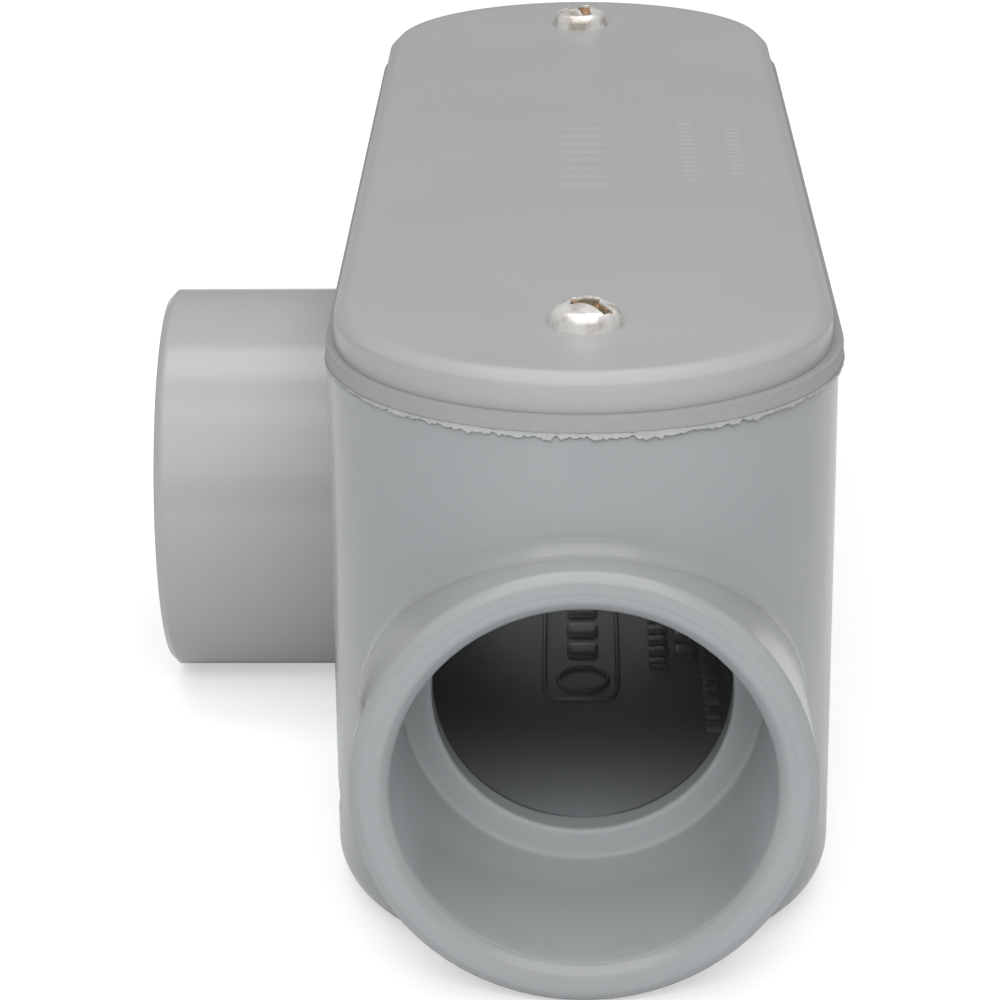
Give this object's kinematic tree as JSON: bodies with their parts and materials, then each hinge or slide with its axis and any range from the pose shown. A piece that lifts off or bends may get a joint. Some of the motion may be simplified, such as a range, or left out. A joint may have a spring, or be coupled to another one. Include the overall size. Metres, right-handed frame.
{
  "type": "tee conduit body",
  "caption": "Moulded plastic tee conduit body: a deep round-ended trough with hubs on both ends and one side, closed by a gasketed screw-down cover.",
  "frame": {"origin": "on the flat back, under the point where the centre lines of the three hubs cross", "axes": "+Z from the back towards the cover; Y along the run, front hub at -Y; the side hub points along -X"},
  "size_m": [0.0676, 0.164, 0.0589],
  "materials": {
    "body_pvc": "grey PVC as moulded, semi-gloss",
    "cover_pvc": "grey PVC as moulded, satin",
    "gasket_rubber": "grey die-cut sheet, dull",
    "screw_steel": "bright rolled steel"
  },
  "bodies": {
    "root": {"conduit_body": "body_pvc", "cover_gasket": "gasket_rubber", "cover": "cover_pvc", "front_cover_screw": "screw_steel", "rear_cover_screw": "screw_steel"}
  },
  "joints": []
}
